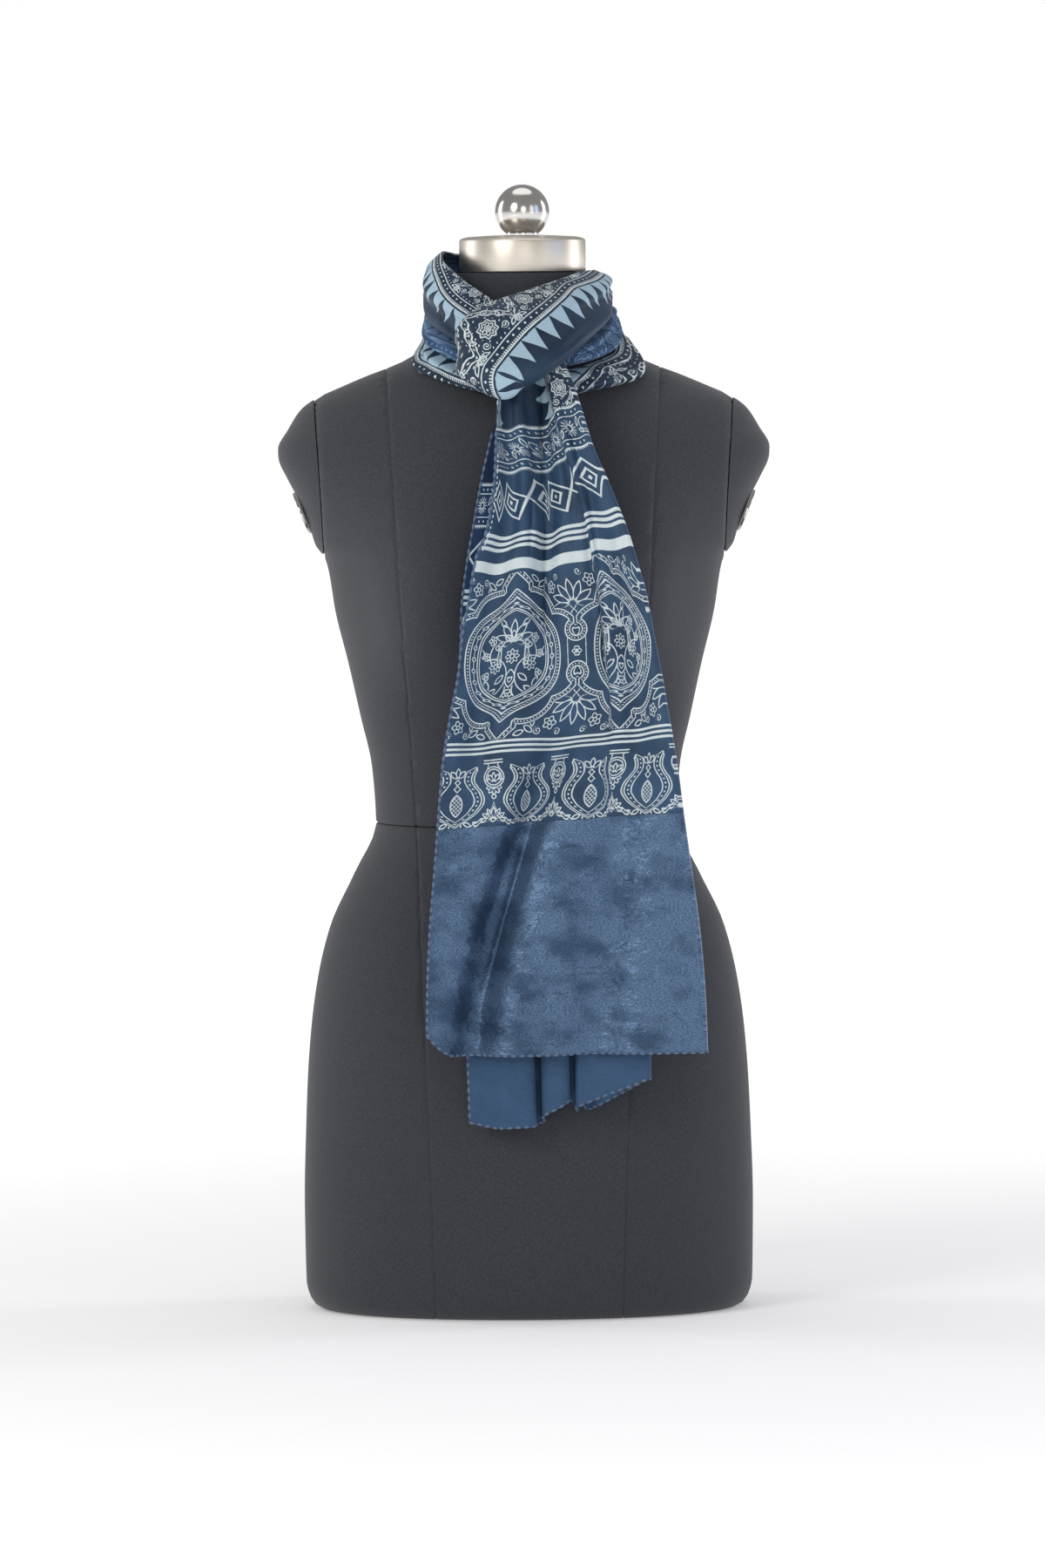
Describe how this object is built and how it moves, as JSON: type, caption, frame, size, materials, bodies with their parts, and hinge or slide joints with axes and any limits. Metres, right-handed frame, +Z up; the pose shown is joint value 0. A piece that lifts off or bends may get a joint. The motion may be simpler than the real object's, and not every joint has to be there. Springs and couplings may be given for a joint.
{
  "type": "stole on a dress form",
  "caption": "Printed stole folded lengthwise, looped round the neck of a limbless dress form with its ends hanging in front.",
  "frame": {"origin": "on the surface that the form stands on, under the axis of its neck", "axes": "+Z up, +X to the right seen from the front; the front, with the knot, faces -Y"},
  "size_m": [0.3892, 0.2873, 0.8909],
  "materials": {
    "form_cloth": "matte charcoal knit stretched over a shell",
    "brushed_cap": "brushed round the axis",
    "polished_metal": "polished",
    "stole_print": "satin, navy ground with a pale print",
    "stole_wrong_side": "matte, faded print"
  },
  "bodies": {
    "root": {"torso_lower": "form_cloth", "torso_upper": "form_cloth", "shoulder_cap_left": "form_cloth", "shoulder_cap_right": "form_cloth", "arm_plate_left": "polished_metal", "arm_plate_right": "polished_metal", "neck_cap": "brushed_cap", "finial_ball": "polished_metal", "wrap_lower": "stole_print", "wrap_mid": "stole_wrong_side", "wrap_upper": "stole_print", "front_band": "stole_print", "tail_front": "stole_print", "tail_back": "stole_wrong_side"}
  },
  "joints": []
}
